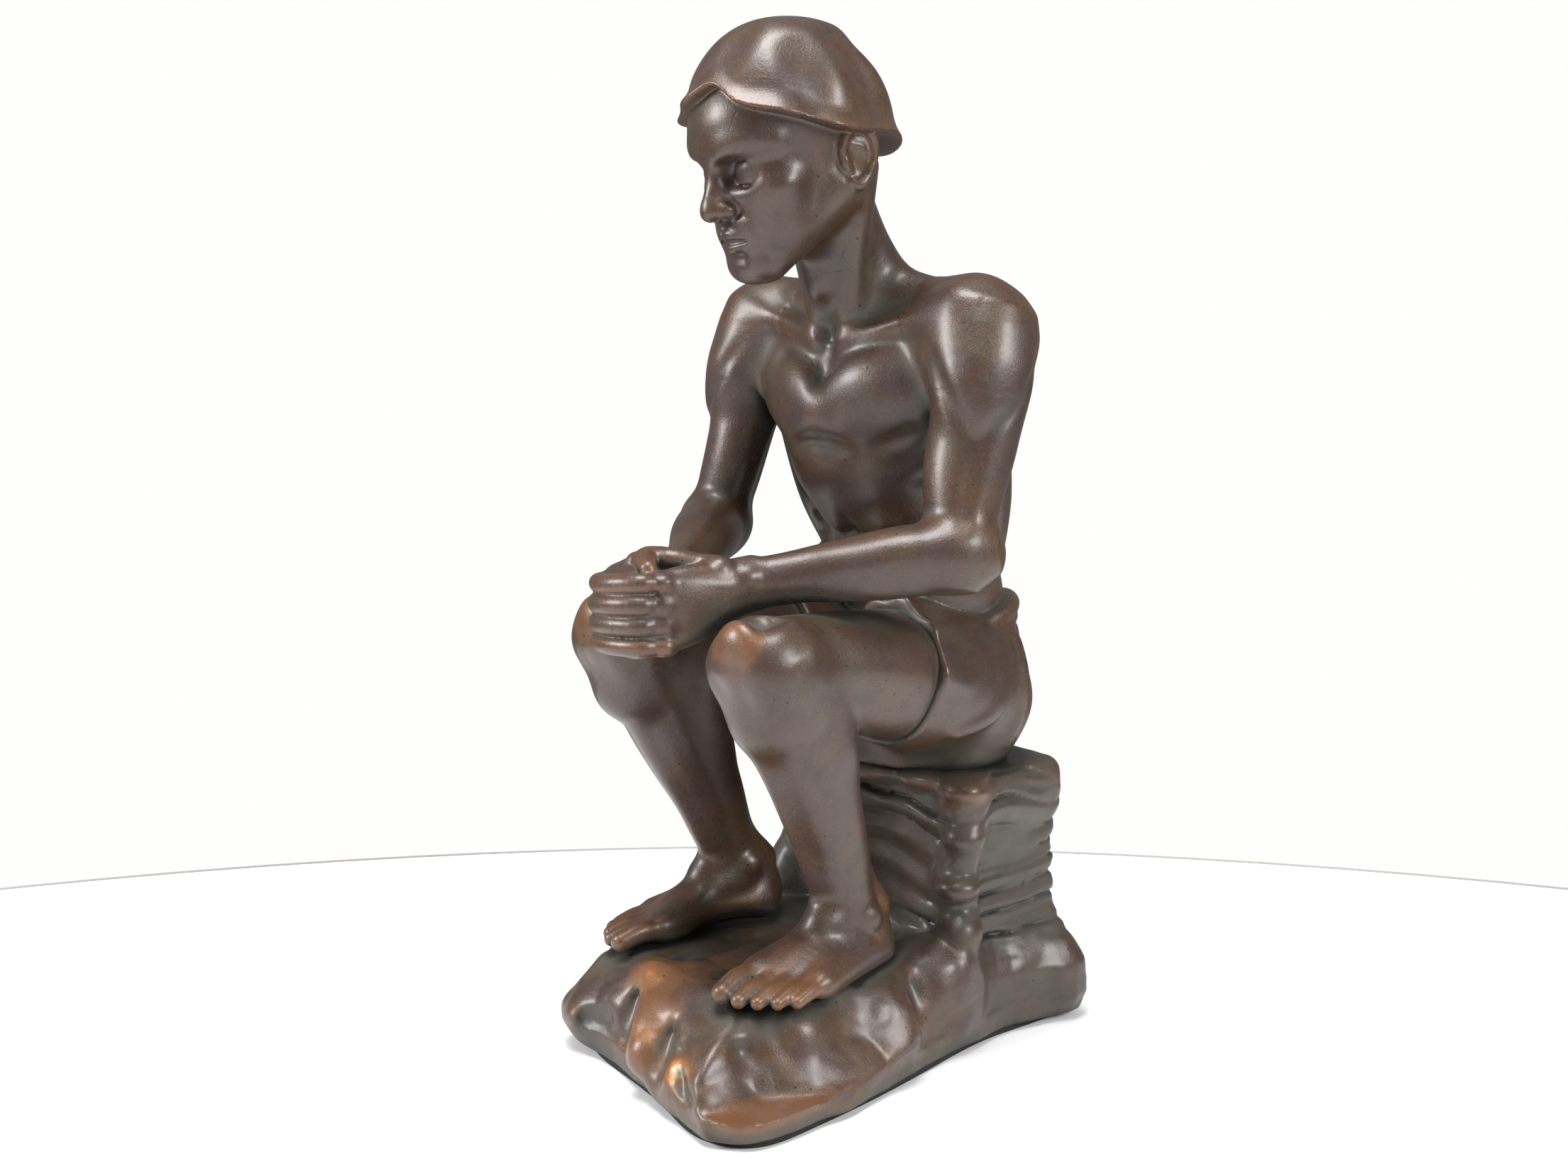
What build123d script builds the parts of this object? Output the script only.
from build123d import *
import os
from math import cos, radians, sin, sqrt

# Seated figure deep in thought on a rock: a bronzed statuette, slush cast in sections.
# The sections plug into each other with a spigot and a cross pin, and the figure is bolted to the rock.
# Millimetres. +Z is up, the figure faces -Y and its left side is +X.
# The origin is on the table, under the middle of the statuette.

# Rock
base_width = 70.0
base_depth = 108.0
ledge_height = 21.0
seat_height = 58.0
seat_width = 59.0
seat_depth = 36.0
seat_corner_radius = 7.0
rock_wall = 5.0
rim_wall = 6.0
overrun = 4.0

# Underside
felt_thickness = 1.5
felt_margin = 1.2
plate_thickness = 1.5
plate_clearance = 0.2
plate_ledge = 2.5
lug_radius = 4.5
lug_root = 2.5
screw_radius = 1.4
screw_length = 9.0
screw_head_radius = 2.8
screw_head_height = 1.2
screw_clearance = 0.05

# Bolts under the seat and under the feet
seat_stud_radius = 2.0
seat_stud_spread = 22.0
seat_stud_grip = 9.0
seat_nut_width = 7.0
seat_nut_height = 3.2
seat_washer_radius = 4.5
seat_washer_thickness = 0.8
foot_stud_radius = 1.5
foot_stud_grip = 9.0
foot_nut_width = 5.5
foot_nut_height = 2.4
foot_washer_radius = 3.5
foot_washer_thickness = 0.5
stud_tail = 1.5
stud_clearance = 0.2
thread_clearance = 0.05

# Skeleton: spreads are between the two sides, rises are above what carries the joint
hip_spread = 30.0
hip_back = 33.0
hip_rise = 18.0
knee_spread = 44.0
knee_reach = 62.0
knee_rise = 67.0
ankle_spread = 40.0
ankle_rise = 12.0
left_ankle_setback = 24.0
right_ankle_setback = 28.0
shoulder_spread = 66.0
shoulder_lead = 13.0
shoulder_rise = 93.0
elbow_spread = 74.0
elbow_behind_knee = 37.0
elbow_over_knee = 20.0
wrist_spread = 18.0
wrist_behind_knee = 2.0
wrist_over_knee = 14.0
neck_base_lead = 1.0
neck_base_rise = 2.0
head_lead = 23.0
head_rise = 38.5
head_bow_degrees = 20.0
head_turn_degrees = 10.0
toe_out_degrees = 8.0

# Flesh, as half sizes of a section
thigh_half_width = 14.5
thigh_half_depth = 14.5
shin_half_width = 10.5
shin_half_depth = 11.5
calf_swell = 2.5
knee_radius = 12.2
foot_length = 46.0
heel_length = 11.0
foot_half_width = 10.0
foot_half_height = 9.5
toe_radius = 2.2
toe_length = 9.0
upper_arm_half_width = 8.6
upper_arm_half_depth = 9.4
forearm_half_width = 7.4
forearm_half_depth = 7.4
elbow_radius = 7.6
deltoid_radius = 11.5
chest_half_width = 27.0
chest_half_depth = 17.5
chest_muscle_width = 14.0
chest_muscle_depth = 6.2
chest_muscle_height = 11.0
slope_top_radius = 6.5
slope_foot_radius = 7.5
yoke_half_depth = 9.0
yoke_half_height = 9.0
neck_half_width = 9.8
neck_half_depth = 10.8
head_half_width = 17.0
head_half_depth = 21.0
head_half_height = 20.5
jaw_drop = 24.0
nose_radius = 2.4
ear_half_height = 6.5
chin_half_width = 6.5
chin_half_depth = 4.5
chin_half_height = 4.0
cap_thickness = 2.4
brim_radius = 2.6
brim_tilt_degrees = 28.0
cloth_thickness = 1.4
waist_roll_radius = 2.2
palm_length = 18.0
palm_half_thickness = 3.8
palm_half_height = 8.2
finger_radius = 2.2
finger_count = 4
finger_pitch = 4.1
finger_stagger = 1.0
knuckle_gap = 1.5
finger_bulge = 5.0
finger_overlap = 8.5
thumb_radius = 2.6
hand_drop = 4.0
shell_wall = 5.0

# Joints between the castings: a spigot in a socket, with a pin across it
joint_clearance = 0.1
pin_clearance = 0.05
neck_spigot_radius = 5.0
neck_spigot_length = 8.0
neck_pin_radius = 1.0
shoulder_spigot_radius = 4.5
shoulder_spigot_length = 8.0
shoulder_pin_radius = 1.0
thigh_spigot_radius = 6.5
thigh_spigot_length = 10.0
thigh_pin_radius = 1.25
wrist_spigot_radius = 2.4
wrist_spigot_length = 5.0
wrist_pin_radius = 0.6
pin_inset = 1.0

# Where along its bone each joint is cut, and where the torso's core ends
neck_cut_share = 0.5
shoulder_cut_share = 0.3
hem_cut_share = 0.42
wrist_cut_share = 0.94
core_start_share = 0.2
core_end_share = 0.92
seat_core_share = 0.94
skull_base_shares = (0.0, 0.2, -0.5)
wrist_width_share = 0.6

# Outline of the rock in plan, counter-clockwise: shares of half its width and half its depth
base_outline_shares = [
    (-0.89, 1.04), (-0.97, 0.5), (-0.93, -0.05), (-1.02, -0.46), (-0.78, -0.72),
    (-0.12, -0.855), (0.46, -0.945), (0.88, -0.992), (1.1, -0.915), (1.16, -0.68),
    (1.12, -0.33), (1.03, 0.09), (0.95, 0.55), (0.89, 1.04),
]
# Height as a share of the ledge, and size as a share of the outline
slab_level_shares = [(0.0, 0.985), (0.3, 1.0), (0.6, 0.95), (1.0, 0.84)]
core_top_share = 0.91
# Height as a share of the seat, and size as a share of the seat block
block_level_shares = [(0.2, 1.0), (0.45, 0.96), (0.7, 0.97), (0.9, 1.05), (1.0, 1.0)]
# Boulders: centre, then half sizes, as shares of half width, half depth and seat height
boulder_shares = [
    ((0.84, -0.24, 0.16), (0.3, 0.32, 0.16)),
    ((0.74, 0.28, 0.21), (0.28, 0.25, 0.21)),
    ((-0.6, -0.48, 0.15), (0.42, 0.38, 0.2)),
    ((-0.74, 0.5, 0.34), (0.24, 0.24, 0.3)),
    ((0.52, -0.8, 0.1), (0.5, 0.17, 0.12)),
]
# Ridge under the seat's front corner, from the top: place and thickness, as shares of the seat height
ridge_shares = [
    (0.84, 0.38, 0.93, 0.055), (0.85, 0.38, 0.74, 0.05), (0.76, 0.37, 0.6, 0.06),
    (0.84, 0.37, 0.44, 0.065), (0.8, 0.32, 0.28, 0.075),
]
# Tongue of rock between the feet, from the seat forwards
tongue_shares = [
    (0.02, 0.1, 0.3, 0.085), (-0.04, -0.42, 0.29, 0.075), (0.0, -0.7, 0.24, 0.08), (0.14, -0.87, 0.14, 0.085),
]
lug_place_shares = [(0.72, 0.72), (-0.72, 0.72), (0.7, -0.62), (-0.6, -0.5)]

# Sections along a bone: place along it, half width, half depth and how far the middle swells back
thigh_shares = [
    (0.0, 1.0, 1.0, 0.0), (0.25, 1.03, 1.03, 0.0), (0.5, 0.98, 0.96, 0.0),
    (0.75, 0.87, 0.86, 0.0), (1.0, 0.8, 0.8, 0.0),
]
shin_shares = [
    (0.0, 0.98, 0.92, 0.0), (0.18, 1.0, 0.98, 0.6), (0.36, 1.0, 1.0, 1.0),
    (0.6, 0.8, 0.8, 0.7), (0.82, 0.56, 0.58, 0.2), (1.0, 0.53, 0.6, 0.0),
]
upper_arm_shares = [
    (0.0, 1.2, 1.18, 0.0), (0.3, 1.1, 1.08, 0.0), (0.55, 1.0, 1.0, 0.0),
    (0.8, 0.86, 0.88, 0.0), (1.0, 0.84, 0.84, 0.0),
]
forearm_shares = [
    (0.0, 0.92, 0.92, 0.0), (0.25, 1.06, 1.06, 0.0), (0.5, 0.96, 0.96, 0.0),
    (0.75, 0.76, 0.74, 0.0), (1.0, 0.66, 0.6, 0.0),
]
neck_shares = [(0.0, 1.4, 1.1, 0.0), (0.4, 1.02, 1.0, 0.0), (1.0, 0.98, 1.0, 0.0)]
# Torso: rise, lean forward, half width, half depth
torso_shares = [
    (0.0, 0.2, 0.84, 0.9), (0.16, 0.0, 0.95, 1.03), (0.32, -0.2, 0.86, 0.92),
    (0.46, -0.15, 0.77, 0.83), (0.6, 0.1, 0.82, 0.88), (0.76, 0.45, 0.92, 0.96),
    (0.9, 0.8, 0.94, 0.92), (1.0, 1.0, 0.83, 0.73),
]
# Places on the trunk are shares of the chest's half width, of its half depth behind the hips, and of the rise
# Side and shoulder blade muscles: start, end, then half width and half thickness as shares of the depth
trunk_muscle_shares = [
    ((0.78, 0.1, 0.43), (1.06, -0.62, 0.93), 0.4, 0.33),
    ((0.19, -0.03, 1.0), (0.8, 0.14, 0.71), 0.48, 0.28),
    ((0.64, -0.6, 0.38), (0.66, 0.3, 0.44), 0.36, 0.36),
]
# Column beside the navel: place, then thickness as a share of the chest's depth
belly_column_shares = [(0.19, -1.02, 0.7, 0.2), (0.19, -0.79, 0.55, 0.24), (0.19, -0.58, 0.41, 0.26)]
# Waist of the cloth: rise, middle and half sizes of its rolled edge, then the knot at the left hip
waist_shares = (0.335, 0.13, 0.86, 0.94)
knot_place_shares = (0.86, -0.5, 0.32)
knot_radius_share = 0.23
seat_muscle_place_shares = (0.5, 0.32, 0.145)
seat_muscle_shares = (0.86, 0.78, 0.83)
# Chest muscle: place across, ahead of the shoulder and up the trunk
chest_place_shares = (0.48, 0.46, 0.83)
# Slope of the shoulder: where it leaves the neck and where it ends on the way to the shoulder
slope_top_share = 0.3
slope_foot_share = 0.82
# Yoke of the shoulders: place across, half depth and half height
yoke_shares = [
    (0.0, 0.94, 0.9), (0.25, 1.08, 1.06), (0.5, 1.14, 1.12), (0.75, 1.08, 1.06), (1.0, 0.94, 0.9),
]
# Foot, heel to toes: place along, half width and half height
foot_shares = [
    (0.0, 0.4, 0.34), (0.12, 0.58, 0.72), (0.28, 0.64, 1.0),
    (0.5, 0.8, 0.78), (0.72, 1.0, 0.5), (0.9, 0.92, 0.34),
]
foot_sink_share = 0.2
# Toes from the big one outwards: place across, start along the foot, and thickness
toe_shares = [
    (-0.62, 0.86, 1.25), (-0.2, 0.87, 0.95), (0.14, 0.84, 0.9), (0.46, 0.79, 0.85), (0.74, 0.73, 0.85),
]
# Face below the cap: height as a share of the jaw, then forward, half width and half depth of the head
face_shares = [
    (0.25, -0.12, 0.93, 0.8), (-0.17, -0.2, 0.92, 0.75), (-0.5, -0.27, 0.84, 0.66),
    (-0.8, -0.36, 0.68, 0.52), (-1.0, -0.42, 0.46, 0.38),
]
nose_top_shares = (0.0, -0.9, 0.1)
nose_tip_shares = (0.0, -1.0, -0.38)
nose_taper_share = 0.6
chin_place_shares = (0.0, -0.68, -0.9)
ear_place_shares = (0.97, 0.16, -0.34)
ear_half_width_share = 0.32
ear_half_depth_share = 0.68
brim_height_share = 0.06
core_head_share = 0.72
# Palm: place from wrist to knuckles, half thickness and half height
palm_shares = [(-0.15, 1.15, 0.5), (0.0, 1.15, 0.56), (0.35, 1.1, 0.85), (0.7, 1.05, 1.0), (1.0, 0.8, 0.95)]
finger_root_shares = (1.0, 0.92)
finger_tip_shares = (0.98, 0.8)
thumb_root_share = 0.33
thumb_lift_share = 0.9
thumb_cross_share = 0.5


# Shapes that the pieces are made from
def bone_plane(start, end, share):
    """A plane square to a bone, part of the way along it, with its X axis across the body."""
    return Plane(origin=start + (end - start) * share, x_dir=(1, 0, 0), z_dir=end - start)


def limb(start, end, shares, half_width, half_depth, swell=0.0):
    """A limb lofted through ellipses along its bone. swell pushes the middle backwards."""
    sections = []
    for along, wide, deep, back in shares:
        square = bone_plane(start, end, along)
        place = Plane(square.origin - square.y_dir * (swell * back), square.x_dir, square.z_dir)
        sections.append(place * Ellipse(half_width * wide, half_depth * deep))
    return loft(sections)


def ellipsoid(plane, radii):
    """An ellipsoid about the plane's origin, with its half sizes along the plane's axes."""
    return plane * scale(Sphere(1), by=radii)


def round_rod(start, end, start_radius, end_radius):
    """A tapered rod with round ends, such as a finger bone."""
    length = (end - start).length
    lean = (start_radius - end_radius) / length
    wide = sqrt(1 - lean * lean)
    low = Vector(start_radius * wide, 0, start_radius * lean)
    high = Vector(end_radius * wide, 0, length + end_radius * lean)
    low_tip = Vector(0, 0, -start_radius)
    high_tip = Vector(0, 0, length + end_radius)
    slant = sqrt(1 / 2)
    low_mid = Vector(start_radius * slant, 0, -start_radius * slant)
    high_mid = Vector(end_radius * slant, 0, length + end_radius * slant)
    outline = [
        ThreePointArc(low_tip, low_mid, low),
        Line(low, high),
        ThreePointArc(high, high_mid, high_tip),
        Line(high_tip, low_tip),
    ]
    return Plane(origin=start, z_dir=end - start) * revolve(make_face(outline), Axis.Z)


def rod(plane, radius, length, start=0.0):
    """A straight cylinder along a plane's normal, from start to start + length."""
    shape = Cylinder(radius, length, align=(Align.CENTER, Align.CENTER, Align.MIN))
    return plane.offset(start) * shape


def far_side(shape, plane):
    """The part of a shape on the side that the plane's normal points to."""
    return split(shape, bisect_by=plane, keep=Keep.TOP)


def near_side(shape, plane):
    """The part of a shape behind the plane."""
    return split(shape, bisect_by=plane, keep=Keep.BOTTOM)


# Skeleton: side is 1 for the figure's left and -1 for its right
sides = {"left": 1, "right": -1}


def hip(side):
    return Vector(side * hip_spread / 2, hip_back, seat_height + hip_rise)


def knee(side):
    return Vector(side * knee_spread / 2, hip_back - knee_reach, ledge_height + knee_rise)


def ankle(side):
    setback = left_ankle_setback if side > 0 else right_ankle_setback
    return Vector(side * ankle_spread / 2, knee(side).Y + setback, ledge_height + ankle_rise)


def shoulder(side):
    return Vector(side * shoulder_spread / 2, hip_back - shoulder_lead, seat_height + shoulder_rise)


def elbow(side):
    return Vector(side * elbow_spread / 2, knee(side).Y + elbow_behind_knee, knee(side).Z + elbow_over_knee)


def wrist(side):
    return Vector(side * wrist_spread / 2, knee(side).Y + wrist_behind_knee, knee(side).Z + wrist_over_knee)


neck_base = Vector(0, hip_back - shoulder_lead - neck_base_lead, seat_height + shoulder_rise + neck_base_rise)
head_centre = neck_base + Vector(0, -head_lead, head_rise)
bow = radians(head_bow_degrees)
turn = radians(head_turn_degrees)
head_frame = Plane(
    origin=head_centre,
    x_dir=(cos(turn), -sin(turn), 0),
    z_dir=(-sin(turn) * sin(bow), -cos(turn) * sin(bow), cos(bow)),
)


def in_head(x, y, z):
    """A point in the head's own frame: left, back and up from its centre."""
    return head_frame.from_local_coords(Vector(x, y, z))


head_half_sizes = (head_half_width, head_half_depth, head_half_height)
skull_base = in_head(*(size * share for size, share in zip(head_half_sizes, skull_base_shares)))


# Planes of the joints between the castings; each normal points at the outer casting
def neck_plane():
    return bone_plane(neck_base, skull_base, neck_cut_share)


def shoulder_plane(side):
    return bone_plane(shoulder(side), elbow(side), shoulder_cut_share)


def hem_plane(side):
    return bone_plane(hip(side), knee(side), hem_cut_share)


def wrist_plane(side):
    return bone_plane(elbow(side), wrist(side), wrist_cut_share)


# Each joint: radius and length of its spigot, radius and reach of its pin
neck_joint = (neck_spigot_radius, neck_spigot_length, neck_pin_radius, neck_half_width - pin_inset)
shoulder_joint = (
    shoulder_spigot_radius, shoulder_spigot_length, shoulder_pin_radius, upper_arm_half_width - pin_inset
)
thigh_joint = (thigh_spigot_radius, thigh_spigot_length, thigh_pin_radius, thigh_half_width - pin_inset)
wrist_half_width = forearm_half_width * wrist_width_share
wrist_joint = (wrist_spigot_radius, wrist_spigot_length, wrist_pin_radius, wrist_half_width - pin_inset)


def spigot(plane, joint):
    """A round tenon that reaches back across the joint."""
    radius, length, _, _ = joint
    return rod(plane, radius, length + overrun, -length)


def socket(plane, joint):
    """The hole for a spigot, with its clearance."""
    radius, length, _, _ = joint
    return rod(plane, radius + joint_clearance, length + joint_clearance + overrun, -length - joint_clearance)


def pin_rod(plane, length, radius, reach):
    """A rod across a joint, half way down its spigot, that reaches equally far to both sides."""
    middle = plane.origin - plane.z_dir * (length / 2)
    across = Plane(origin=middle - plane.x_dir * reach, x_dir=plane.z_dir, z_dir=plane.x_dir)
    return rod(across, radius, reach * 2)


def cross_pin(plane, joint):
    _, length, radius, reach = joint
    return pin_rod(plane, length, radius, reach)


def cross_hole(plane, joint):
    """The hole for a cross pin, which runs out through the skin on both sides."""
    _, length, radius, reach = joint
    return pin_rod(plane, length, radius + pin_clearance, reach + overrun)


# Rock
def outline(width, depth, height, size=1.0):
    """The rock's plan outline at one height, as a closed curve."""
    points = [
        Vector(x * width / 2 * size, y * depth / 2 * size, height) for x, y in base_outline_shares
    ]
    return make_face(Spline(points, periodic=True))


def behind_back(inset=0.0):
    """Everything past the rock's flat back, or past a plane some way in front of it."""
    back = Box(base_width * 2, base_depth, seat_height * 2 + overrun)
    return Pos(0, base_depth - inset, 0) * back


plate_top = felt_thickness + plate_thickness
seat_middle = base_depth / 2 - seat_depth / 2
ceiling = ledge_height - rock_wall
seat_ceiling = seat_height - rock_wall


def rock_mass():
    """The rock as one lump: a slab for the feet, a block to sit on and boulders around them."""
    slab_height = ledge_height - felt_thickness
    slab = loft([
        outline(base_width, base_depth, felt_thickness + level * slab_height, size)
        for level, size in slab_level_shares
    ])
    block = loft([
        Pos(0, seat_middle, level * seat_height)
        * RectangleRounded(seat_width * size, seat_depth * size, seat_corner_radius)
        for level, size in block_level_shares
    ])
    boulders = [
        ellipsoid(
            Plane(origin=(x * base_width / 2, y * base_depth / 2, z * seat_height)),
            (a * base_width / 2, b * base_depth / 2, c * seat_height),
        )
        for (x, y, z), (a, b, c) in boulder_shares
    ]
    lump = slab + block
    for piece in boulders + rock_rods(ridge_shares) + rock_rods(tongue_shares):
        lump += piece
    under_rim = Pos(0, 0, felt_thickness) * Box(
        base_width * 2, base_depth * 2, seat_height, align=(Align.CENTER, Align.CENTER, Align.MAX)
    )
    return lump - behind_back() - under_rim


def rock_rods(shares):
    """Round rods along a bent line on the rock."""
    places = [
        (Vector(x * base_width / 2, y * base_depth / 2, z * seat_height), thick * seat_height)
        for x, y, z, thick in shares
    ]
    return [round_rod(a, b, thick, thin) for (a, thick), (b, thin) in zip(places, places[1:])]


def lug_places():
    return [Plane(origin=(x * base_width / 2, y * base_depth / 2, plate_top)) for x, y in lug_place_shares]


def seat_stud_place(side):
    return Plane(origin=(side * seat_stud_spread / 2, hip_back, seat_height))


def foot_stud_place(side):
    return Plane(origin=(ankle(side).X, ankle(side).Y, ledge_height))


def stud_hole(place, radius):
    """A clearance hole through the rock's wall."""
    return rod(place, radius + stud_clearance, rock_wall + overrun * 2, -rock_wall - overrun)


def make_rock():
    inner_width = base_width - 2 * rim_wall
    inner_depth = base_depth - 2 * rim_wall
    plate_width = inner_width + 2 * (plate_ledge + plate_clearance)
    plate_depth = inner_depth + 2 * (plate_ledge + plate_clearance)
    slab_core = loft([
        outline(inner_width, inner_depth, plate_top),
        outline(inner_width, inner_depth, ceiling, core_top_share),
    ])
    plate_seat = extrude(outline(plate_width, plate_depth, felt_thickness), plate_thickness, dir=(0, 0, 1))
    core_width = seat_width * seat_core_share - 2 * rock_wall
    core_depth = seat_depth * seat_core_share - 2 * rock_wall
    seat_core = Pos(0, seat_middle, plate_top) * extrude(
        RectangleRounded(core_width, core_depth, seat_corner_radius / 2), seat_ceiling - plate_top
    )
    core = (slab_core + seat_core) - behind_back(rim_wall)
    plate_seat -= behind_back(rim_wall - plate_ledge - plate_clearance)
    lug_height = ceiling - plate_top + lug_root
    lugs = [rod(place, lug_radius, lug_height) for place in lug_places()]
    screw_holes = [rod(place, screw_radius + screw_clearance, screw_length) for place in lug_places()]
    mass = rock_mass()
    rock = mass - core - plate_seat + [lug & mass for lug in lugs] - screw_holes
    for side in sides.values():
        rock -= stud_hole(seat_stud_place(side), seat_stud_radius)
        rock -= stud_hole(foot_stud_place(side), foot_stud_radius)
    return rock


# Underside: closing plate, its screws and the felt
def make_base_plate():
    width = base_width - 2 * rim_wall + 2 * plate_ledge
    depth = base_depth - 2 * rim_wall + 2 * plate_ledge
    plate = extrude(outline(width, depth, felt_thickness), plate_thickness, dir=(0, 0, 1))
    plate -= behind_back(rim_wall - plate_ledge)
    holes = [
        rod(place, screw_radius + stud_clearance, plate_thickness, -plate_thickness) for place in lug_places()
    ]
    sinks = [screw_head(place, joint_clearance) for place in lug_places()]
    return plate - holes - sinks


def screw_head(place, grow=0.0):
    head = Cone(
        screw_head_radius + grow, screw_radius + grow, screw_head_height,
        align=(Align.CENTER, Align.CENTER, Align.MIN),
    )
    return place.offset(-plate_thickness) * head


def make_plate_screws():
    shank = screw_length - screw_head_height
    return {
        f"plate_screw_{number}": screw_head(place)
        + rod(place, screw_radius, shank, screw_head_height - plate_thickness)
        for number, place in enumerate(lug_places(), 1)
    }


def make_felt():
    width = base_width - 2 * felt_margin
    depth = base_depth - 2 * felt_margin
    pad = extrude(outline(width, depth, 0, slab_level_shares[0][1]), felt_thickness, dir=(0, 0, 1))
    return pad - behind_back(felt_margin)


# Bolts: a stud screwed into the figure, with a washer and a nut inside the rock
def bolt(name, place, radius, grip, washer_radius, washer_thickness, nut_width, nut_height):
    """The three pieces of a bolt, hung from the surface that the figure rests on."""
    nut_top = rock_wall + washer_thickness
    below = nut_top + nut_height + stud_tail
    washer = rod(place, washer_radius, washer_thickness, -nut_top)
    washer -= rod(place, radius + stud_clearance, washer_thickness, -nut_top)
    hexagon = RegularPolygon(nut_width / 2, 6, major_radius=False)
    nut = place.offset(-nut_top - nut_height) * extrude(hexagon, nut_height)
    nut -= rod(place, radius + thread_clearance, nut_height, -nut_top - nut_height)
    stud = rod(place, radius, grip + below, -below)
    return {f"{name}_stud": stud, f"{name}_washer": washer, f"{name}_nut": nut}


def make_bolts():
    pieces = {}
    for name, side in sides.items():
        pieces.update(bolt(
            f"{name}_seat", seat_stud_place(side), seat_stud_radius, seat_stud_grip,
            seat_washer_radius, seat_washer_thickness, seat_nut_width, seat_nut_height,
        ))
        pieces.update(bolt(
            f"{name}_foot", foot_stud_place(side), foot_stud_radius, foot_stud_grip,
            foot_washer_radius, foot_washer_thickness, foot_nut_width, foot_nut_height,
        ))
    return pieces


# Torso with the hip cloth, the shoulders and the root of the neck
def torso_sections(wall=0.0):
    """Ellipses up the spine, each square to it. wall takes the sections in, for the core."""
    rise = shoulder_rise
    centres = [
        Vector(0, hip_back - lean * shoulder_lead, seat_height + up * rise) for up, lean, _, _ in torso_shares
    ]
    sections = []
    for index, (up, _, wide, deep) in enumerate(torso_shares):
        below = centres[max(index - 1, 0)]
        above = centres[min(index + 1, len(centres) - 1)]
        place = Plane(origin=centres[index], x_dir=(1, 0, 0), z_dir=above - below)
        sections.append((up, place * Ellipse(chest_half_width * wide - wall, chest_half_depth * deep - wall)))
    return sections


def on_trunk(side, x, y, z):
    """A point of the trunk from its shares, on one side of the body."""
    up = seat_height + z * shoulder_rise
    return Vector(side * x * chest_half_width, hip_back + y * chest_half_depth, up)


def trunk_forms(side):
    """The muscles of one side of the trunk."""
    forms = []
    for start, end, wide, thick in trunk_muscle_shares:
        low = on_trunk(side, *start)
        high = on_trunk(side, *end)
        place = Plane(origin=(low + high) / 2, x_dir=(1, 0, 0), z_dir=high - low)
        radii = (thick * chest_half_depth, wide * chest_half_depth, (high - low).length / 2)
        forms.append(ellipsoid(place, radii))
    column = [(on_trunk(side, x, y, z), thick * chest_half_depth) for x, y, z, thick in belly_column_shares]
    forms += [round_rod(a, b, thick, thin) for (a, thick), (b, thin) in zip(column, column[1:])]
    seat = Plane(origin=on_trunk(side, *seat_muscle_place_shares))
    return forms + [ellipsoid(seat, tuple(share * chest_half_depth for share in seat_muscle_shares))]


def cloth_edge():
    """The rolled waist of the cloth and its knot."""
    up, back, wide, deep = waist_shares
    middle = on_trunk(1, 0, back, up)
    ring = scale(
        Torus(1, waist_roll_radius / chest_half_width),
        by=(wide * chest_half_width, deep * chest_half_depth, chest_half_width),
    )
    knot = Pos(on_trunk(1, *knot_place_shares)) * Sphere(knot_radius_share * chest_half_depth)
    return [Pos(middle) * ring, knot]


def make_torso():
    trunk = loft([section for _, section in torso_sections()])
    left = shoulder(1)
    right = shoulder(-1)
    yoke = loft([
        Plane(origin=left + (right - left) * across, x_dir=(0, 1, 0), z_dir=(-1, 0, 0))
        * Ellipse(yoke_half_depth * deep, yoke_half_height * high)
        for across, deep, high in yoke_shares
    ])
    pieces = [yoke, near_side(neck_limb(), neck_plane())]
    for side in sides.values():
        across, ahead, up = chest_place_shares
        chest = Vector(
            side * across * chest_half_width,
            shoulder(side).Y - ahead * chest_half_depth,
            seat_height + up * shoulder_rise,
        )
        muscle = (chest_muscle_width, chest_muscle_depth, chest_muscle_height)
        pieces.append(ellipsoid(Plane(origin=chest), muscle))
        slope_top = neck_base + (skull_base - neck_base) * slope_top_share
        slope_foot = neck_base + (shoulder(side) - neck_base) * slope_foot_share
        pieces.append(round_rod(slope_top, slope_foot, slope_top_radius, slope_foot_radius))
        pieces.append(Pos(shoulder(side)) * Sphere(deltoid_radius))
        pieces.append(near_side(upper_arm_limb(side), shoulder_plane(side)))
        cloth = limb(
            hip(side), knee(side), thigh_shares,
            thigh_half_width + cloth_thickness, thigh_half_depth + cloth_thickness,
        )
        pieces.append(near_side(cloth, hem_plane(side)))
        pieces.append(Pos(hip(side)) * Sphere(thigh_half_width + cloth_thickness))
        pieces += trunk_forms(side)
    body = trunk
    for piece in pieces + cloth_edge():
        body += piece
    under_seat = Pos(0, hip_back, seat_height) * Box(
        base_width * 2, base_depth * 2, seat_height, align=(Align.CENTER, Align.CENTER, Align.MAX)
    )
    core = loft([
        section for up, section in torso_sections(shell_wall) if core_start_share < up < core_end_share
    ])
    body = body - under_seat - core
    for side in sides.values():
        body -= far_side_of_joint(shoulder_plane(side), deltoid_radius)
        body -= rod(seat_stud_place(side), seat_stud_radius + thread_clearance, seat_stud_grip)
        body -= socket(shoulder_plane(side), shoulder_joint)
        body -= cross_hole(shoulder_plane(side), shoulder_joint)
        body -= socket(hem_plane(side), thigh_joint)
        body -= cross_hole(hem_plane(side), thigh_joint)
    body -= socket(neck_plane(), neck_joint)
    body -= cross_hole(neck_plane(), neck_joint)
    return body


def far_side_of_joint(plane, radius):
    """A short drum past a joint, which takes away what bulges over it."""
    return rod(plane, radius, radius)


# Head with its cap
def neck_limb():
    return limb(neck_base, skull_base, neck_shares, neck_half_width, neck_half_depth)


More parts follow.
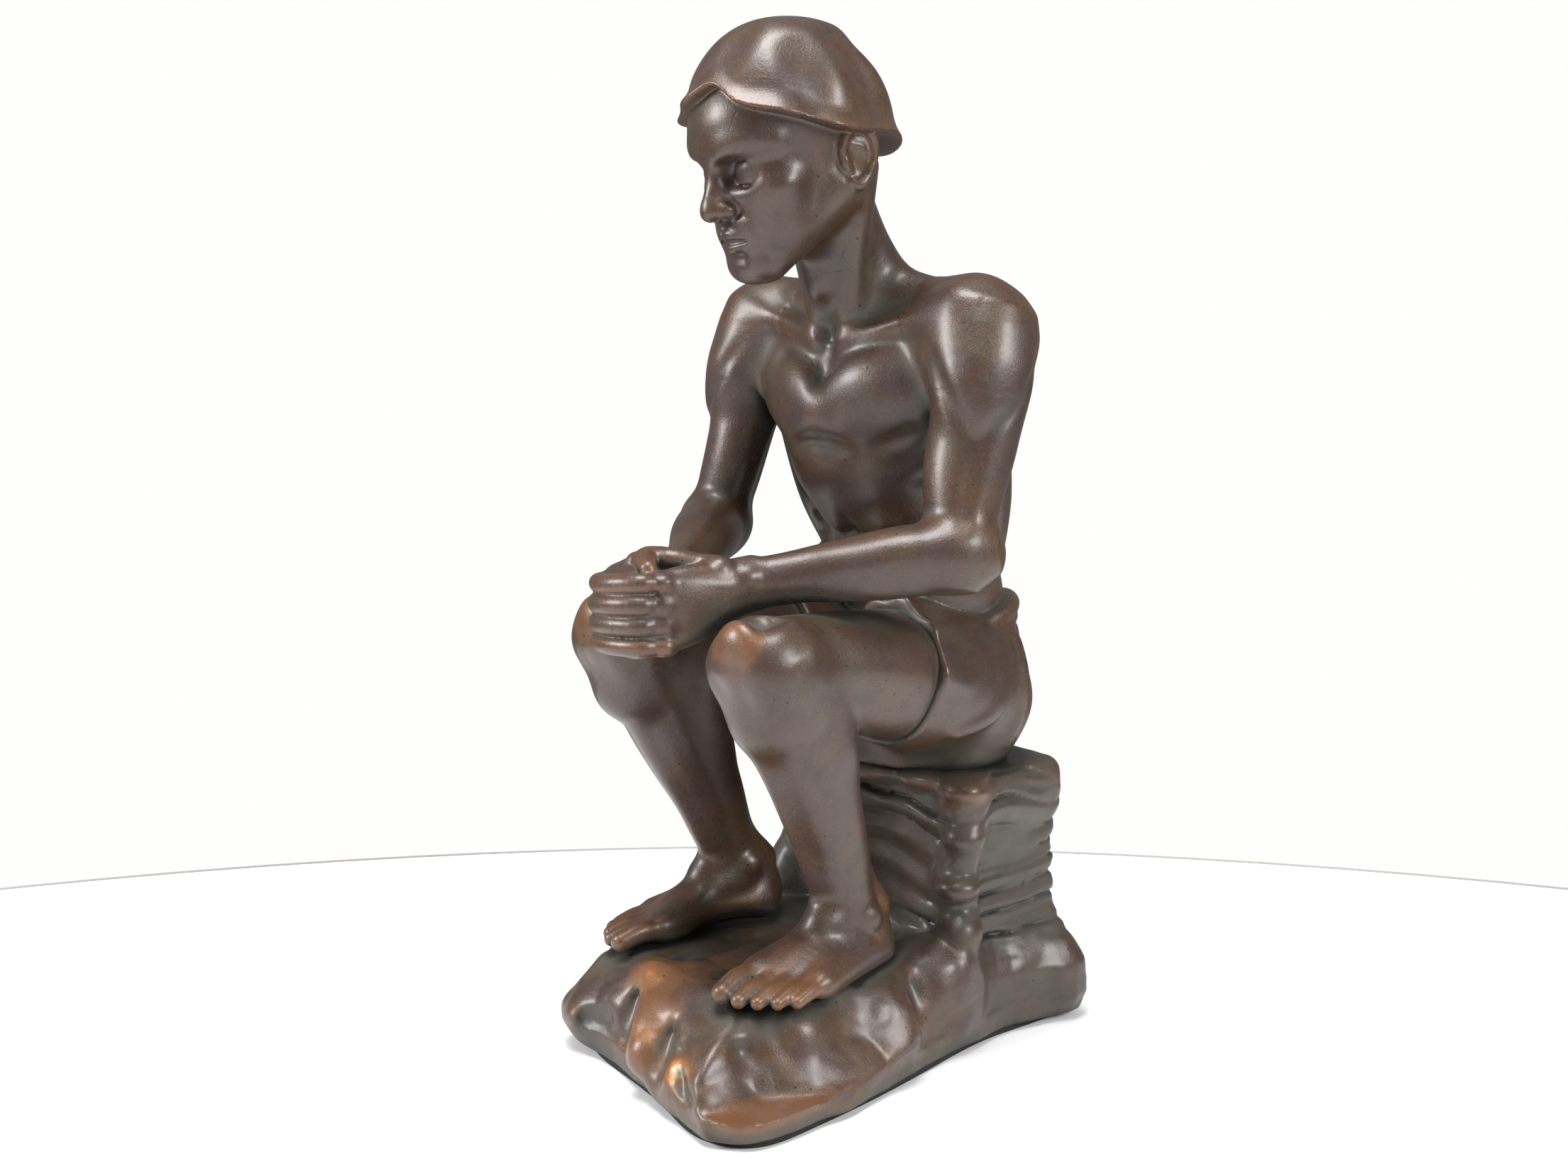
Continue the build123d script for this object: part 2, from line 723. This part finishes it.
def brim_plane():
    tilt = radians(brim_tilt_degrees)
    up = head_frame.z_dir * cos(tilt) + head_frame.y_dir * sin(tilt)
    return Plane(origin=in_head(0, 0, head_half_height * brim_height_share), x_dir=head_frame.x_dir, z_dir=up)


def on_face(shares):
    """A plane square to the head, at shares of its half width, half depth and the drop of the jaw."""
    x, y, z = shares
    centre = in_head(x * head_half_width, y * head_half_depth, z * jaw_drop)
    return Plane(centre, head_frame.x_dir, head_frame.z_dir)


def make_head():
    skull = ellipsoid(head_frame, head_half_sizes)
    face = loft([
        on_face((0, ahead, up)) * Ellipse(head_half_width * wide, head_half_depth * deep)
        for up, ahead, wide, deep in face_shares
    ])
    nose_top = on_face(nose_top_shares).origin
    nose_tip = on_face(nose_tip_shares).origin
    nose = round_rod(nose_top, nose_tip, nose_radius * nose_taper_share, nose_radius)
    chin = ellipsoid(on_face(chin_place_shares), (chin_half_width, chin_half_depth, chin_half_height))
    ears = [
        ellipsoid(
            on_face((side * ear_place_shares[0],) + ear_place_shares[1:]),
            (ear_half_height * ear_half_width_share, ear_half_height * ear_half_depth_share, ear_half_height),
        )
        for side in sides.values()
    ]
    cap_radii = tuple(size + cap_thickness for size in head_half_sizes)
    dome = far_side(ellipsoid(head_frame, cap_radii), brim_plane())
    brim = brim_plane() * scale(Torus(1, brim_radius / head_half_depth), by=(*cap_radii[:2], cap_radii[1]))
    head = far_side(neck_limb(), neck_plane()) + [skull, face, nose, chin, dome, brim] + ears
    core = ellipsoid(head_frame, tuple(size * core_head_share for size in head_half_sizes))
    head = head - core + spigot(neck_plane(), neck_joint)
    return head - cross_hole(neck_plane(), neck_joint)


# Arms
def upper_arm_limb(side):
    return limb(shoulder(side), elbow(side), upper_arm_shares, upper_arm_half_width, upper_arm_half_depth)


def forearm_limb(side):
    return limb(elbow(side), wrist(side), forearm_shares, forearm_half_width, forearm_half_depth)


def make_arm(side):
    upper = far_side(upper_arm_limb(side), shoulder_plane(side))
    fore = near_side(forearm_limb(side), wrist_plane(side))
    arm = upper + [fore, Pos(elbow(side)) * Sphere(elbow_radius)]
    arm += spigot(shoulder_plane(side), shoulder_joint)
    arm -= cross_hole(shoulder_plane(side), shoulder_joint)
    arm -= socket(wrist_plane(side), wrist_joint)
    return arm - cross_hole(wrist_plane(side), wrist_joint)


# Clasped hands, cast as one piece
def hand_height():
    return wrist(1).Z - hand_drop


def make_hand(side):
    start = wrist_plane(side).origin
    knuckles = Vector(side * (palm_half_thickness + knuckle_gap), start.Y - palm_length, hand_height())
    palm = loft([
        bone_plane(start, knuckles, along) * Ellipse(palm_half_thickness * thick, palm_half_height * high)
        for along, thick, high in palm_shares
    ])
    palm = far_side(palm, wrist_plane(side))
    fingers = []
    for number in range(finger_count):
        up = ((finger_count - 1) / 2 - number) * finger_pitch + side * finger_stagger
        root = Vector(knuckles.X, knuckles.Y, knuckles.Z + up)
        bend = Vector(-side * finger_radius, knuckles.Y - finger_bulge, root.Z)
        tip = Vector(-side * finger_overlap, knuckles.Y + finger_radius, root.Z - finger_radius / 2)
        fingers.append(round_rod(root, bend, *(finger_radius * share for share in finger_root_shares)))
        fingers.append(round_rod(bend, tip, *(finger_radius * share for share in finger_tip_shares)))
    thumb_root = Vector(
        side * palm_half_thickness,
        start.Y - palm_length * thumb_root_share,
        knuckles.Z + palm_half_height * thumb_lift_share,
    )
    thumb_tip = Vector(
        -side * thumb_radius * thumb_cross_share, knuckles.Y, thumb_root.Z + (side + 1) * thumb_radius / 2
    )
    thumb = round_rod(thumb_root, thumb_tip, *(thumb_radius * share for share in finger_tip_shares))
    return [palm, thumb] + fingers


def make_hands():
    left = make_hand(1)
    right = make_hand(-1)
    hands = left[0] + left[1:] + right
    for side in sides.values():
        hands += spigot(wrist_plane(side), wrist_joint)
        hands -= cross_hole(wrist_plane(side), wrist_joint)
    return hands


# Legs
def foot_frame(side):
    """Plane on the ledge under the ankle, with X across the foot and Y towards the heel."""
    out = radians(toe_out_degrees) * side
    return Plane(
        origin=(ankle(side).X, ankle(side).Y, ledge_height), x_dir=(cos(out), sin(out), 0), z_dir=(0, 0, 1)
    )


def make_foot(side):
    ground = foot_frame(side)
    sections = []
    for along, wide, high in foot_shares:
        half_height = foot_half_height * high
        centre = ground.from_local_coords(
            Vector(0, heel_length - along * foot_length, half_height * (1 - foot_sink_share))
        )
        place = Plane(origin=centre, x_dir=ground.x_dir, z_dir=-ground.y_dir)
        sections.append(place * Ellipse(foot_half_width * wide, half_height))
    pieces = [loft(sections)]
    for across, along, thick in toe_shares:
        radius = toe_radius * thick
        root = Vector(side * across * foot_half_width, heel_length - along * foot_length, radius)
        tip = root + Vector(0, -toe_length * thick / 2, 0)
        ends = [ground.from_local_coords(point) for point in (root, tip)]
        pieces.append(round_rod(*ends, radius, radius))
    return pieces


def make_leg(side):
    thigh = limb(hip(side), knee(side), thigh_shares, thigh_half_width, thigh_half_depth)
    shin = limb(knee(side), ankle(side), shin_shares, shin_half_width, shin_half_depth, calf_swell)
    leg = far_side(thigh, hem_plane(side)) + [shin, Pos(knee(side)) * Sphere(knee_radius)] + make_foot(side)
    under_sole = Pos(0, 0, ledge_height) * Box(
        base_width * 2, base_depth * 2, seat_height, align=(Align.CENTER, Align.CENTER, Align.MAX)
    )
    leg = leg - under_sole + spigot(hem_plane(side), thigh_joint)
    leg -= cross_hole(hem_plane(side), thigh_joint)
    return leg - rod(foot_stud_place(side), foot_stud_radius + thread_clearance, foot_stud_grip)


def make_pins():
    """The cross pin of each joint."""
    pins = {"neck_pin": cross_pin(neck_plane(), neck_joint)}
    for name, side in sides.items():
        pins[f"{name}_shoulder_pin"] = cross_pin(shoulder_plane(side), shoulder_joint)
        pins[f"{name}_thigh_pin"] = cross_pin(hem_plane(side), thigh_joint)
        pins[f"{name}_wrist_pin"] = cross_pin(wrist_plane(side), wrist_joint)
    return pins


def main():
    os.makedirs("parts", exist_ok=True)
    pieces = {
        "rock_base": make_rock(),
        "torso": make_torso(),
        "head": make_head(),
        "clasped_hands": make_hands(),
        "base_plate": make_base_plate(),
        "felt_pad": make_felt(),
    }
    for name, side in sides.items():
        pieces[f"{name}_arm"] = make_arm(side)
        pieces[f"{name}_leg"] = make_leg(side)
    for group in (make_plate_screws(), make_bolts(), make_pins()):
        pieces.update(group)
    for name, shape in pieces.items():
        export_step(Compound(children=shape.solids()), f"parts/{name}.step")


main()
